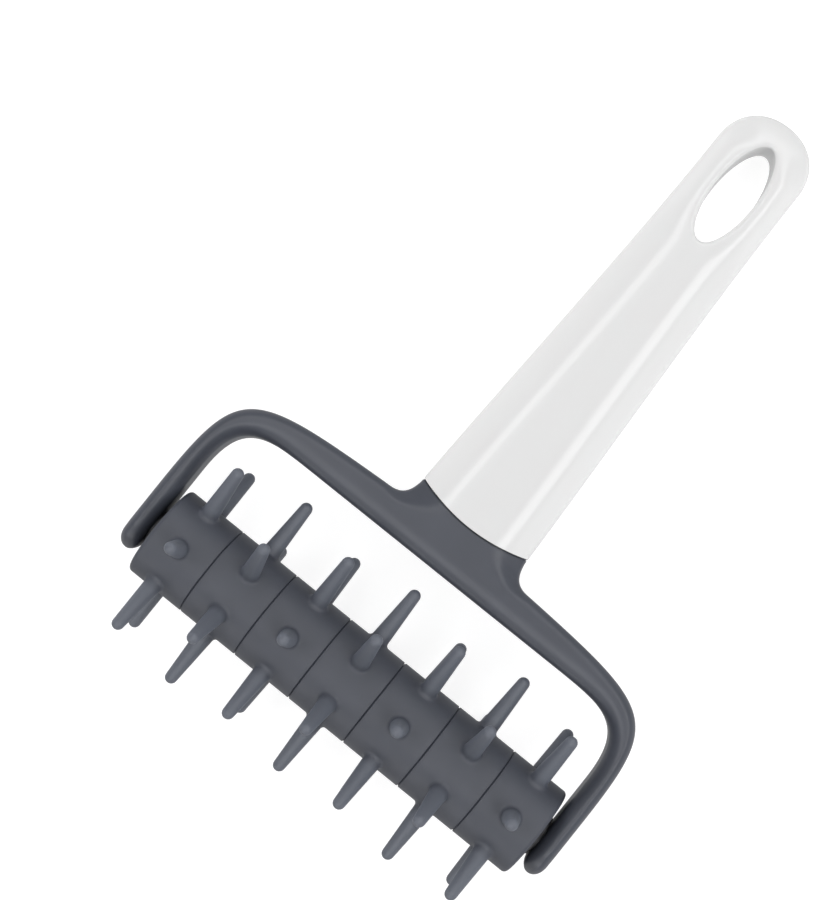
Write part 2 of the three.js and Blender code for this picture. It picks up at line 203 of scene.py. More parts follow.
class StageSettings(PropertyGroup):
    """Camera, floor and lights."""

    camera_place: FloatVectorProperty(
        name="Camera place", description="In the docker's own directions",
        default=(9.32 * MM, 37.46 * MM, 514.6 * MM), size=3, subtype="TRANSLATION", unit="LENGTH",
    )
    camera_ahead: FloatVectorProperty(
        name="Camera direction", description="Where the camera looks, in the docker's own directions",
        default=(-0.0588, 0.02244, -0.99802), size=3,
    )
    camera_up: FloatVectorProperty(
        name="Camera up", description="What is up in the picture, in the docker's own directions",
        default=(-0.62328, 0.78011, 0.05426), size=3,
    )
    lens: FloatProperty(
        name="Lens", description="Focal length on a 36 mm sensor", default=92.14,
        subtype="DISTANCE_CAMERA",
    )
    floor_half: length("Floor half width", "Half the width of the floor", 4.0)
    sky_top: share("Sky overhead", "Brightness of the surroundings straight above", 0.25)
    sky_low: share("Sky at the sides", "Brightness of the surroundings near the floor", 0.6)
    sky_behind: share("Sky beyond the handle", "Share of it that is left beyond the handle's end", 0.8)
    left_strip: share("Left strip", "Power of the strip above the handle's left side, in watts", 3.2)
    right_strip: share("Right strip", "Power of the strip above the handle's right side, in watts", 5.6)
    front_light: share("Front light", "Power of the light above the roller's side, in watts", 4.4)
    low_light: share("Low front light", "Power of the low light on the roller's side, in watts", 5.6)
    back_light: share("Back light", "Power of the light beyond the handle's end, in watts", 3.0)
    key_light: share("Key light", "Power of the light that throws the shadow, in watts", 1.3)
    left_light: share("Left panel", "Power of the low panel on the key light's side, in watts", 4.5)
    right_light: share("Right panel", "Power of the low panel opposite the key light, in watts", 5.5)
    floor_glow: share("Floor glow", "Light that comes up through the floor", 0.78)


# Shapes
# How near two points are merged, the angles in degrees above which an edge stays sharp, on a plain
# piece and on one with small bevels, and how many points are measured at a time
MERGE = 0.0001 * MM
RING_MERGE = 0.001 * MM
SMOOTH_CREASE = 32
BEVEL_CREASE = 24
BATCH = 500


def cubic(start, pull_a, pull_b, end, steps):
    """Points along a cubic curve, without its start."""
    t = np.linspace(0, 1, steps + 1)[1:, None]
    a, b, c, d = (np.array(p, float) for p in (start, pull_a, pull_b, end))
    return (1 - t) ** 3 * a + 3 * (1 - t) ** 2 * t * b + 3 * (1 - t) * t**2 * c + t**3 * d


def arc(centre, radii, start_turn, end_turn, steps):
    """Points of an oval's arc, without its start. Turns are in degrees from +X."""
    turns = np.radians(np.linspace(start_turn, end_turn, steps + 1)[1:])
    return np.array(centre) + np.array(radii) * np.column_stack([np.cos(turns), np.sin(turns)])


def evenly(points, step):
    """The points of an open line spread evenly along it, with its ends kept."""
    gaps = np.hypot(*np.diff(points, axis=0).T)
    along = np.concatenate([[0], np.cumsum(gaps)])
    count = max(2, round(along[-1] / step))
    places = np.linspace(0, along[-1], count + 1)
    return np.column_stack([np.interp(places, along, points[:, i]) for i in (0, 1)])


def mirrored(right_half):
    """A closed outline, anticlockwise, from its right half, given from bottom to top."""
    left_half = (right_half[1:-1] * (-1, 1))[::-1]
    return np.vstack([right_half, left_half])


def inward(outline):
    """Unit normals that point into an anticlockwise outline."""
    along = np.roll(outline, -1, 0) - np.roll(outline, 1, 0)
    normals = np.column_stack([-along[:, 1], along[:, 0]])
    return normals / np.linalg.norm(normals, axis=1)[:, None]


def distance_to(points, line, closed=True):
    """Distance from each point to a line."""
    a, b = line, np.roll(line, -1, 0)
    if not closed:
        a, b = a[:-1], b[:-1]
    side = b - a
    nearest = np.full(len(points), np.inf)
    for start in range(0, len(points), BATCH):
        offset = points[start : start + BATCH, None, :] - a[None]
        t = np.clip((offset * side).sum(2) / (side**2).sum(1), 0, 1)
        gap = offset - t[..., None] * side
        nearest[start : start + BATCH] = np.sqrt((gap**2).sum(2).min(1))
    return nearest


def within(points, outline):
    """Which points lie inside a closed outline."""
    a, b = outline, np.roll(outline, -1, 0)
    inside = np.zeros(len(points), bool)
    for (ax, ay), (bx, by) in zip(a, b):
        if ay == by:
            continue
        crosses = (ay > points[:, 1]) != (by > points[:, 1])
        inside ^= crosses & (points[:, 0] < (bx - ax) * (points[:, 1] - ay) / (by - ay) + ax)
    return inside


def smooth_step(values, low, high):
    """0 up to low, 1 from high on, and an even curve between."""
    t = np.clip((values - low) / (high - low), 0, 1)
    return t * t * (3 - 2 * t)


def soft_least(a, b, blend):
    """The smaller of two lengths, with a rounded change from one to the other."""
    return (a + b - np.sqrt((a - b) ** 2 + blend**2)) / 2


def skin(loops, closed=False):
    """Faces that join loops of points in order. A loop of one point is a pole."""
    points, faces, starts = [], [], []
    for loop in loops:
        starts.append(len(points))
        points.extend(loop)
    pairs = list(zip(range(len(loops)), range(1, len(loops))))
    if closed:
        pairs.append((len(loops) - 1, 0))
    for low, high in pairs:
        count = max(len(loops[low]), len(loops[high]))
        for i in range(count):
            j = (i + 1) % count
            a, b = starts[low], starts[high]
            if len(loops[low]) == 1:
                faces.append((a, b + j, b + i))
            elif len(loops[high]) == 1:
                faces.append((a + i, a + j, b))
            else:
                faces.append((a + i, a + j, b + j, b + i))
    return points, faces


def lids(count):
    """Faces that close both ends of a skin of two loops with as many points each."""
    return [tuple(range(count)), tuple(range(2 * count - 1, count - 1, -1))]


def mesh_of(name, points, faces):
    """A closed mesh with its doubles merged and its faces pointing out."""
    mesh = bpy.data.meshes.new(name)
    mesh.from_pydata([tuple(p) for p in points], [], faces)
    tidy(mesh, MERGE)
    return mesh


def tidy(mesh, merge):
    """Merges doubles and turns all faces outwards."""
    shell = bmesh.new()
    shell.from_mesh(mesh)
    bmesh.ops.remove_doubles(shell, verts=shell.verts, dist=merge)
    bmesh.ops.dissolve_degenerate(shell, edges=shell.edges, dist=merge)
    bmesh.ops.recalc_face_normals(shell, faces=shell.faces)
    shell.to_mesh(mesh)
    shell.free()


def shaped(name, mesh):
    """A new object that holds a mesh."""
    piece = bpy.data.objects.new(name, mesh)
    bpy.context.scene.collection.objects.link(piece)
    return piece


def applied(piece):
    """Turns what an object's modifiers make into its own plain mesh."""
    evaluated = piece.evaluated_get(bpy.context.evaluated_depsgraph_get())
    made = bpy.data.meshes.new_from_object(evaluated)
    if not made.polygons:
        raise RuntimeError(piece.name + " came out empty")
    piece.modifiers.clear()
    old, piece.data = piece.data, made
    bpy.data.meshes.remove(old)
    made.name = piece.name


def carved(piece, cutter, operation="DIFFERENCE"):
    """Cuts a closed mesh out of a piece, or joins it on."""
    cut = piece.modifiers.new("cut", "BOOLEAN")
    cut.operation = operation
    cut.solver = "EXACT"
    cut.object = cutter
    applied(piece)
    bpy.data.objects.remove(cutter)


def finished(piece, node, body, material, crease=SMOOTH_CREASE):
    """Lays a piece down in its place, gives it its material, smooths it, hangs it under its body and hides the CAD
    node that it stands for.
    """
    piece.data.transform(LAID_DOWN)
    piece.data.materials.clear()
    piece.data.materials.append(material)
    for face in piece.data.polygons:
        face.material_index = 0
        face.use_smooth = True
    piece.data.set_sharp_from_angle(angle=math.radians(crease))
    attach(piece, body)
    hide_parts(node)


# A shoulder rises from its edge, at share 0, to the face, at share 1. The yoke's is a quarter of
# an oval. The handle's has a round corner up to one share of its width and a slope up to a second
# share, and then flattens slowly into the panel. Its angles are degrees above the face.
CORNER_SHARE, SLOPE_SHARE = 0.1, 0.45
EDGE_ANGLE, CORNER_ANGLE, SLOPE_ANGLE = 86, 33, 28
FLATTENING = 1.4


def sloped_shares():
    """Width shares of the handle's shoulder and the height share at each."""
    width = np.linspace(0, 1, 241)
    angles = np.interp(width, (0, CORNER_SHARE, SLOPE_SHARE), (EDGE_ANGLE, CORNER_ANGLE, SLOPE_ANGLE))
    to_panel = np.clip((1 - width) / (1 - SLOPE_SHARE), 0, 1)
    flat = np.tan(math.radians(SLOPE_ANGLE)) * to_panel**FLATTENING
    rise = np.where(width < SLOPE_SHARE, np.tan(np.radians(angles)), flat)
    height = np.concatenate([[0], np.cumsum((rise[1:] + rise[:-1]) / 2)])
    return width, height / height[-1]


SLOPED_PROFILE = sloped_shares()

# Shares of a shoulder's width where a plate has rows of points: first joined rows, close together
# where the edge is round, then loose rows that fill the rest of the shoulder. The turns are those
# of the rows that round the rim of a hole.
EDGE_SHARES = (0.005, 0.02, 0.04, 0.06, 0.08, 0.105, 0.15, 0.21, 0.3, 0.42)
LOOSE_SHARES = (0.5, 0.58, 0.68, 0.79, 0.9, 1.0)
RIM_TURNS = np.radians(np.linspace(0, 90, 9))

# Which of the loose rows' places are kept, the height of an even-sided triangle as a share of its
# side, and how near two places of a sheet are taken as one
OWN_SIDE, DEEP_ENOUGH = 0.985, 0.45
TRIANGLE_HEIGHT = 0.866
SAME_PLACE = 1e-9


def shoulder(reach, sloped):
    """Height share of a shoulder at a share of its width. sloped is 0 for oval, 1 for the handle's."""
    oval = np.sqrt(1 - (1 - reach) ** 2)
    slope = np.interp(reach, *SLOPED_PROFILE)
    return oval * (1 - sloped) + slope * sloped


def rim_drop(distance, radius):
    """How far the rounded rim of a hole lies below the face."""
    run = radius - np.clip(distance, 0, radius)
    return radius - np.sqrt(radius**2 - run**2)


def crowned_plate(name, outline, section, edge_width, step, hole=None, rim=0.0):
    """A plate with crowned faces. section gives a face's height from places and edge distances."""
    def height(points):
        drop = rim_drop(distance_to(points, hole), rim) if hole is not None else 0
        return section(points, distance_to(points, outline)) - drop

    normals = inward(outline)
    widths = edge_width(outline)
    rows = [np.column_stack([outline, height(outline)])]
    for portion in EDGE_SHARES:
        places = outline + normals * (widths * portion)[:, None]
        rows.append(np.column_stack([places, height(places)]))
    middle = np.column_stack([outline, np.zeros(len(outline))])
    flip = (1, 1, -1)
    points, faces = skin([row * flip for row in reversed(rows)] + [middle] + rows)

    rims = []
    if hole is not None:
        outwards = -inward(hole)
        for turn in RIM_TURNS:
            places = hole + outwards * rim * (1 - math.cos(turn))
            drop = rim * (1 - math.sin(turn))
            rims.append(np.column_stack([places, section(places, distance_to(places, outline)) - drop]))
        rim_points, rim_faces = skin(rims[::-1] + [row * flip for row in rims])
        faces += [tuple(i + len(points) for i in face) for face in rim_faces]
        points += rim_points

    loops = [rows[-1]] + ([rims[-1]] if rims else [])
    fixed = np.vstack(loops)
    loose = sheet_places(outline, normals, widths, hole, rim, step)
    edges, start = [], 0
    for loop in loops:
        edges += [(start + i, start + (i + 1) % len(loop)) for i in range(len(loop))]
        start += len(loop)
    flat = [Vector(p) for p in np.vstack([fixed[:, :2], loose])]
    made = delaunay_2d_cdt(flat, edges, [], 0, SAME_PLACE)
    places = np.array([tuple(p) for p in made[0]])
    heights = height(places)
    for index, sources in enumerate(made[3]):
        if sources and min(sources) < len(fixed):
            places[index] = fixed[min(sources), :2]
            heights[index] = fixed[min(sources), 2]
    triangles = np.array([face for face in made[2] if len(face) == 3])
    middles = places[triangles].mean(1)
    kept = within(middles, rows[-1][:, :2])
    if rims:
        kept &= ~within(middles, rims[-1][:, :2])
    sheet = np.column_stack([places, heights])
    for side in ((1, 1, 1), flip):
        faces += [tuple(int(i) + len(points) for i in face) for face in triangles[kept]]
        points += list(sheet * side)
    return mesh_of(name, points, faces)


def sheet_places(outline, normals, widths, hole, rim, step):
    """Places inside a plate: rows that follow its edge, then an even grid on the face.

    A row's place is left out where the outline's other side is nearer than the row's own inset.
    """
    found = []
    for portion in LOOSE_SHARES:
        insets = widths * portion
        places = outline + normals * insets[:, None]
        gap = distance_to(places, outline)
        found.append(places[gap > np.minimum(insets * OWN_SIDE, widths * DEEP_ENOUGH)])
    low, high = outline.min(0), outline.max(0)
    grid_x = np.arange(low[0], high[0], step)
    grid_y = np.arange(low[1], high[1], step * TRIANGLE_HEIGHT)
    x, y = np.meshgrid(grid_x, grid_y)
    x[1::2] += step / 2
    grid = np.column_stack([x.ravel(), y.ravel()])
    grid = grid[within(grid, outline)]
    some = slice(None, None, 8)  # enough of the outline to tell how wide its edge is near a place
    nearest = np.argmin(((grid[:, None, :] - outline[None, some]) ** 2).sum(2), 1)
    grid = grid[distance_to(grid, outline) > widths[some][nearest] + step / 2]
    places = np.vstack([*found, grid])
    if hole is not None:
        places = places[~within(places, hole) & (distance_to(places, hole) > rim + step / 3)]
    return places


# Yoke
# How far the curves of its corners and its neck are pulled, as shares of their widths and heights
OUTER_CORNER = {"top_pull": 0.945, "top_drop": 0.246, "side_pull": 0.907}
INNER_CORNER = {"side_left": 0.02, "top_left": 0.29}
FLARE = {"rise": 0.9, "bar_pull": 0.4, "neck_pull": 0.12, "neck_rise": 0.15}

# Where the bar changes into the arms, as shares of the yoke's half width, and where the neck's
# section starts, as a share of the bar's width below its outer edge
BAR_END, ARM_START = 0.6, 0.96
NECK_START = 0.4

# How far beyond the seam the round end of an uncut plate has its middle, as a share of the
# handle's half width there
ROUND_REACH = 0.7

# Spacing of the points along the outline and over the face
YOKE_OUTLINE_STEP, YOKE_FACE_STEP = 0.55 * MM, 0.9 * MM


def yoke_outline(yoke, handle):
    """The yoke seen from the front, with a round end above the seam for the seam to cut."""
    bar_outer = yoke.bar_inner + yoke.bar
    neck, flare = handle.seam_half_width, yoke.neck_flare
    inner_half = yoke.half_width - yoke.arm
    tip_centre = (yoke.half_width - yoke.arm / 2, yoke.arm_tip - yoke.tip_reach)
    tip = (yoke.arm / 2, yoke.arm_tip)
    run = yoke.half_width - neck - flare
    outer_foot = bar_outer - yoke.outer_corner_drop
    corner_start = (inner_half - yoke.inner_corner, yoke.bar_inner)
    corner_end = (inner_half, yoke.bar_inner - yoke.inner_corner_drop)
    flare_end = (neck + flare, bar_outer)
    flare_start = (neck, bar_outer + flare * FLARE["rise"])
    round_centre = (0, handle.seam_reach + neck * ROUND_REACH)
    right = np.vstack([
        [(0, yoke.bar_inner), corner_start],
        cubic(
            corner_start,
            (inner_half - yoke.inner_corner * INNER_CORNER["top_left"], yoke.bar_inner),
            (inner_half, yoke.bar_inner - yoke.inner_corner_drop * INNER_CORNER["side_left"]),
            corner_end,
            steps=60,
        ),
        [(inner_half, tip_centre[1])],
        arc(tip_centre, tip, 180, 360, steps=40),
        [(yoke.half_width, outer_foot)],
        cubic(
            (yoke.half_width, outer_foot),
            (yoke.half_width, outer_foot + yoke.outer_corner_drop * OUTER_CORNER["side_pull"]),
            (
                neck + flare + run * OUTER_CORNER["top_pull"],
                bar_outer - yoke.bar * OUTER_CORNER["top_drop"],
            ),
            flare_end,
            steps=90,
        ),
        cubic(
            flare_end,
            (neck + flare * FLARE["bar_pull"], bar_outer),
            (neck + flare * FLARE["neck_pull"], bar_outer + flare * FLARE["neck_rise"]),
            flare_start,
            steps=24,
        ),
        [(neck, round_centre[1])],
        arc(round_centre, (neck, neck), 0, 90, steps=30),
    ])
    return mirrored(evenly(right, YOKE_OUTLINE_STEP))


def neck_share(yoke, handle, points):
    """0 on the arms and the bar, 1 on the neck, where the yoke takes the handle's section."""
    neck = handle.seam_half_width
    across = 1 - smooth_step(np.abs(points[:, 0]), neck, neck + yoke.neck_flare)
    start = yoke.bar_inner + yoke.bar * (1 - NECK_START)
    return across * smooth_step(points[:, 1], start, handle.seam_reach - handle.seam_sag)


def inner_and_outer(outline):
    """The yoke's outline as two open lines, parted at the tips of the arms."""
    tip = np.argmin(outline[: len(outline) // 2, 1])
    end = len(outline) - tip
    return np.vstack([outline[end:], outline[: tip + 1]]), outline[tip : end + 1]


def bar_to_arm(yoke, points, on_bar, on_arm):
    """One value on the bar and another on the arms, with an even change round the corners."""
    across = np.abs(points[:, 0]) / yoke.half_width
    return on_bar + (on_arm - on_bar) * smooth_step(across, BAR_END, ARM_START)


def yoke_widths(yoke, handle, points, is_outer):
    """Width of the rounded edge: narrow on the arms, wider on the bar and widest on the neck."""
    plain = bar_to_arm(yoke, points, yoke.bar_edge, yoke.arm_edge)
    plain = plain * np.where(is_outer, yoke.outer_share, 1.0)
    return plain + (handle.edge - plain) * neck_share(yoke, handle, points)


def yoke_section(yoke, handle, lines, points):
    """Height of the yoke's face, whose inner edges are rounder than its outer ones."""
    neck = neck_share(yoke, handle, points)
    below = np.clip(-points[:, 1] / yoke.tip_reach, 0, 1)
    rounding = np.sqrt(1 - below**2)
    plain = bar_to_arm(yoke, points, yoke.bar_band, yoke.arm_band)
    band = (plain + (handle.edge_band - plain) * neck) * rounding
    top = yoke.half_depth * rounding
    reaches = [
        distance_to(points, line, closed=False) / yoke_widths(yoke, handle, points, is_outer)
        for line, is_outer in zip(lines, (False, True))
    ]
    return band + (top - band) * shoulder(np.clip(np.minimum(*reaches), 0, 1), neck)


# How many places the seam's curve is drawn through
SEAM_POINTS = 97


def seam_cutter(yoke, handle, above, gap):
    """A block whose face is the seam, to cut away what lies above or below it."""
    span = 2 * handle.seam_half_width
    x = np.linspace(-span, span, SEAM_POINTS)
    seam = handle.seam_reach - handle.seam_sag * (1 - (x / handle.seam_half_width) ** 2) + gap
    far = handle.reach if above else -handle.reach
    loop = np.vstack([np.column_stack([x, seam]), [(span, far), (-span, far)]])
    clear = 2 * yoke.half_depth
    points, faces = skin([[(px, py, z) for px, py in loop] for z in (-clear, clear)])
    return shaped("seam_cutter", mesh_of("seam_cutter", points, faces + lids(len(loop))))


def box_between(low, high):
    """A box as a cutter."""
    (x0, y0, z0), (x1, y1, z1) = low, high
    points = [(x, y, z) for x in (x0, x1) for y in (y0, y1) for z in (z0, z1)]
    faces = [(0, 1, 3, 2), (4, 6, 7, 5), (0, 4, 5, 1), (2, 3, 7, 6), (0, 2, 6, 4), (1, 5, 7, 3)]
    return shaped("box_cutter", mesh_of("box_cutter", points, faces))


CIRCLE_TURNS = np.arange(64) * 2 * math.pi / 64


def around(turn, place, radius):
    """A point at a turn about the roller's axis, which lies along X."""
    return (place, radius * math.sin(turn), radius * math.cos(turn))


def circle(radius, place, turns=CIRCLE_TURNS):
    """A loop round the roller's axis, or its middle where it has no radius."""
    return [around(turn, place, radius) for turn in turns] if radius else [(place, 0, 0)]


def turned(name, profile):
    """A closed solid of revolution from (place, radius) pairs that start and end on the axis."""
    return mesh_of(name, *skin([circle(radius, place) for place, radius in profile]))


def tang_box(yoke, handle, gap):
    """The tang, or with a gap the socket that takes it."""
    low = (-yoke.tang_half_width - gap, yoke.bar_inner + yoke.bar / 2, -yoke.tang_half_depth - gap)
    high = (yoke.tang_half_width + gap, yoke.tang_reach + gap, yoke.tang_half_depth + gap)
    return box_between(low, high)


# Shares of the shoulder's width where the core of the neck has its corners
CORE_SHARES = np.array([0.025, 0.06, 0.1, 0.15, 0.3, 0.45, 0.6, 0.8, 1.0])


def neck_core(yoke, handle):
    """What fills the neck up to the handle, below the groove that runs along the seam."""
    rise = yoke.half_depth - handle.edge_band
    height = handle.edge_band + rise * shoulder(CORE_SHARES, 1.0) - handle.seam_depth
    side = np.column_stack([handle.seam_half_width - CORE_SHARES * handle.edge, height])
    upper = np.vstack([side, (side * (-1, 1))[::-1]])
    loop = np.vstack([upper, (upper * (1, -1))[::-1]])
    near = yoke.bar_inner + yoke.bar / 2
    ends = [[(x, y, z) for x, z in loop] for y in (near, handle.seam_reach)]
    points, faces = skin(ends)
    core = shaped("neck_core", mesh_of("neck_core", points, faces + lids(len(loop))))
    carved(core, seam_cutter(yoke, handle, True, -handle.seam_fit))
    return core


class DOCKER_OT_yoke(Operator):
    """Make the yoke, with its neck, tang and bush pockets"""

    bl_idname = "docker.yoke"
    bl_label = "Yoke"

    def execute(self, context):
        yoke, handle = context.scene.docker_yoke, context.scene.docker_handle
        outline = yoke_outline(yoke, handle)
        lines = inner_and_outer(outline)
        to_inner, to_outer = (distance_to(outline, line, closed=False) for line in lines)
        is_outer = to_outer < to_inner
        piece = shaped("yoke_moulding", crowned_plate(
            "yoke_moulding",
            outline,
            lambda points, distance: yoke_section(yoke, handle, lines, points),
            lambda points: yoke_widths(yoke, handle, points, is_outer),
            YOKE_FACE_STEP,
        ))
        carved(piece, seam_cutter(yoke, handle, True, -handle.seam_gap))
        carved(piece, neck_core(yoke, handle), "UNION")
        carved(piece, tang_box(yoke, handle, 0), "UNION")
        clear_of_arm = yoke.half_width - 2 * yoke.arm
        radius = yoke.pocket_radius
        for side in (-1, 1):
            start, end = side * clear_of_arm, side * yoke.pocket_half
            profile = [(start, 0), (start, radius), (end, radius), (end, 0)]
            carved(piece, shaped("pocket_cutter", turned("pocket_cutter", profile)))
        material = slate_plastic(context.scene.docker_colours)
        finished(piece, "yoke", "frame", material)
        return {"FINISHED"}


# Handle
# How far the curves of its end and its sides are pulled, as shares of their widths and lengths,
# the spacing of its points, the turns of those round the hole and the shoulder's least width there
END = {"top_pull": 0.57, "side_pull": 0.64}
SIDE = {"end_pull": 0.68, "base_pull": 0.75, "base_reach": 0.3}
HANDLE_OUTLINE_STEP, HANDLE_FACE_STEP = 0.6 * MM, 1.1 * MM
HOLE_TURNS = np.radians(np.linspace(0, 360, 145)[:-1])
LEAST_SHOULDER = 1 * MM


def handle_outline(handle):
    """The handle seen from the front, with a round end below the seam for the seam to cut."""
    end_start = handle.reach - handle.end_round
    run = end_start - handle.seam_reach
    taper = handle.seam_half_width - handle.end_half_width
    half, end_half = handle.seam_half_width, handle.end_half_width
    base = (half, handle.seam_reach)
    round_centre = (0, handle.seam_reach - half * ROUND_REACH)
    side_end = (end_half, end_start)
    right = np.vstack([
        [(0, round_centre[1] - half)],
        arc(round_centre, (half, half), -90, 0, steps=30),
        [base],
        cubic(
            base,
            (end_half + taper * SIDE["base_pull"], base[1] + run * SIDE["base_reach"]),
            (end_half, base[1] + run * SIDE["end_pull"]),
            side_end,
            steps=80,
        ),
        cubic(
            side_end,
            (end_half, end_start + handle.end_round * END["side_pull"]),
            (end_half * END["top_pull"], handle.reach),
            (0, handle.reach),
            steps=60,
        ),
    ])
    return mirrored(evenly(right, HANDLE_OUTLINE_STEP))


def handle_section(yoke, handle, points, distance):
    """Height of the handle's face, which gets evenly lower towards the end."""
    run = (points[:, 1] - handle.seam_reach) / (handle.reach - handle.seam_reach)
    thinning = 1 + (handle.end_half_depth / yoke.half_depth - 1) * run
    to_hole = distance_to(points, hole_outline(handle))
    beside_hole = np.maximum(distance + to_hole - handle.hole_collar, LEAST_SHOULDER)
    width = soft_least(handle.edge, beside_hole, handle.hole_collar)
    hole_end = handle.reach - handle.hole_wall
    beyond_hole = smooth_step(points[:, 1], hole_end - handle.hole_half_width, hole_end)
    width += np.maximum(handle.edge - width, 0) * beyond_hole
    rise = yoke.half_depth - handle.edge_band
    height = handle.edge_band + rise * shoulder(np.clip(distance / width, 0, 1), 1.0)
    return height * thinning


def hole_outline(handle):
    """The oval hole seen from the front, anticlockwise."""
    half_size = (handle.hole_half_width, handle.hole_half_length)
    oval = np.column_stack([np.cos(HOLE_TURNS), np.sin(HOLE_TURNS)]) * half_size
    return oval + (0, handle.reach - handle.hole_wall - handle.hole_half_length)


class DOCKER_OT_handle(Operator):
    """Make the handle, with its hanging hole and the socket for the tang"""

    bl_idname = "docker.handle"
    bl_label = "Handle"

    def execute(self, context):
        yoke, handle = context.scene.docker_yoke, context.scene.docker_handle
        piece = shaped("handle_moulding", crowned_plate(
            "handle_moulding",
            handle_outline(handle),
            lambda points, distance: handle_section(yoke, handle, points, distance),
            lambda points: np.full(len(points), handle.edge),
            HANDLE_FACE_STEP,
            hole_outline(handle),
            handle.hole_rim,
        ))
        carved(piece, seam_cutter(yoke, handle, False, 0))
        carved(piece, tang_box(yoke, handle, handle.socket_gap))
        material = white_plastic(context.scene.docker_colours)
        finished(piece, "handle", "frame", material)
        return {"FINISHED"}


# Rings
# A ring is made of six sectors, each with a spike and one corner of the six-sided bore. The turns
# are those of a sector's columns of points, and the patch is the square that the spike stands on.
# The last two say in how many steps an edge at a joint and an outer shoulder are rounded.
SPIKES = 6
HALF_STEP = math.pi / SPIKES
SECTOR_TURNS = np.radians(np.arange(-30, 31, 6))
PATCH = slice(1, 10)
PATCH_CELLS = 8
JOINT_STEPS, SHOULDER_STEPS = 3, 8

# Shares of the way from the patch's edge to the spike's foot and up the spike, and the turns in
# degrees of the foot's and the tip's roundings
PATCH_SHARES = (0, 0.35, 0.7, 1)
STEM_SHARES = (0.2, 0.4, 0.6, 0.8, 1)
FOOT_TURNS = np.radians((18, 36, 54, 72, 90))
TIP_TURNS = np.radians((18, 36, 54, 72))


def six_sided_radius(turn, corner, flat):
    """Radius of a six-sided outline in a direction, where corner is the direction of one corner."""
    from_middle = (turn - corner) % (math.pi / 3) - math.pi / 6
    return flat / math.cos(from_middle)


def end_arc(place, inwards, edge, radius, steps):
    """Places and radii that round one end of a ring, from its face to its outside."""
    turns = np.radians(np.linspace(0, 90, steps + 1))
    return [(place + inwards * edge * (1 - math.cos(t)), radius - edge * (1 - math.sin(t))) for t in turns]


def ring_end(roller, place, inwards, is_joint):
    """Profile of a ring's end, from its bore to its outside, and where the end of the bore lies.

    At a joint a narrow lip below the groove stops light from coming through between two rings.
    """
    radius = roller.ring_radius
    if not is_joint:
        return end_arc(place, inwards, roller.end_shoulder, radius, SHOULDER_STEPS), place
    step, lip = radius - roller.groove_depth, roller.ring_lip
    lip_place = place - inwards * lip
    rounded = end_arc(place, inwards, roller.ring_edge, radius, JOINT_STEPS)
    return [(lip_place, step - lip), (place, step)] + rounded, lip_place


def ring_sector(roller, left, right, left_is_joint, right_is_joint, corner):
    """One spike with its share of the ring, its two end faces and the bore."""
    radius = roller.ring_radius
    patch_half = radius * SECTOR_TURNS[PATCH][-1]
    middle = np.linspace(-patch_half, patch_half, PATCH_CELLS + 1)
    left_end, bore_left = ring_end(roller, left, 1, left_is_joint)
    right_end, bore_right = ring_end(roller, right, -1, right_is_joint)
    profile = left_end + [(place, radius) for place in middle] + right_end[::-1]
    bore_turns = SECTOR_TURNS.copy()
    bore_turns[np.argmin(np.abs(bore_turns - corner))] = corner
    bore = [(turn, six_sided_radius(turn, corner, roller.bore_flat)) for turn in bore_turns]
    grid = [[around(turn, place, reach) for turn in SECTOR_TURNS] for place, reach in profile]
    grid.insert(0, [around(turn, bore_left, reach) for turn, reach in bore])
    grid.append([around(turn, bore_right, reach) for turn, reach in bore])
    grid.append(grid[0])
    first = 1 + len(left_end)
    last = first + PATCH_CELLS
    points = [p for row in grid for p in row]
    width = len(SECTOR_TURNS)
    faces = []
    for row in range(len(grid) - 1):
        for column in range(width - 1):
            on_patch = first <= row < last and PATCH.start <= column < PATCH.stop - 1
            if not on_patch:
                low = row * width + column
                high = low + width
                faces.append((low, low + 1, high + 1, high))
    spike_points, spike_faces = spike_patch(roller, middle)
    faces += [tuple(i + len(points) for i in face) for face in spike_faces]
    points += spike_points
    return mesh_of("ring_sector", points, faces)


def spike_patch(roller, places):
    """The square of ring surface that one spike stands on, drawn in to the spike and up to its tip."""
    radius, base, foot = roller.ring_radius, roller.spike_base, roller.spike_foot
    turns = SECTOR_TURNS[PATCH]
    edge = [(places[0], t) for t in turns[:-1]] + [(p, turns[-1]) for p in places[:-1]]
    edge += [(places[-1], t) for t in turns[:0:-1]] + [(p, turns[0]) for p in places[:0:-1]]
    square = np.array([(place, radius * math.sin(turn)) for place, turn in edge])
    spokes = square / np.linalg.norm(square, axis=1)[:, None]

    def on_ring(flat, rise=0.0):
        return np.column_stack([flat, np.sqrt(radius**2 - flat[:, 1] ** 2) + rise])

    rows = [on_ring(square + (spokes * (base + foot) - square) * part) for part in PATCH_SHARES]
    for turn in FOOT_TURNS:
        reach = base + foot * (1 - math.sin(turn))
        rows.append(on_ring(spokes * reach, foot * (1 - math.cos(turn))))
    tip_centre = roller.spike_reach - roller.spike_tip
    start = on_ring(spokes * base, foot)[:, 2]
    for part in STEM_SHARES:
        reach = base + (roller.spike_tip - base) * part
        rows.append(np.column_stack([spokes * reach, start + (tip_centre - start) * part]))
    for turn in TIP_TURNS:
        flat = spokes * roller.spike_tip * math.cos(turn)
        height = tip_centre + roller.spike_tip * math.sin(turn)
        rows.append(np.column_stack([flat, np.full(len(flat), height)]))
    rows.append(np.array([(0, 0, roller.spike_reach)]))
    return skin(rows)


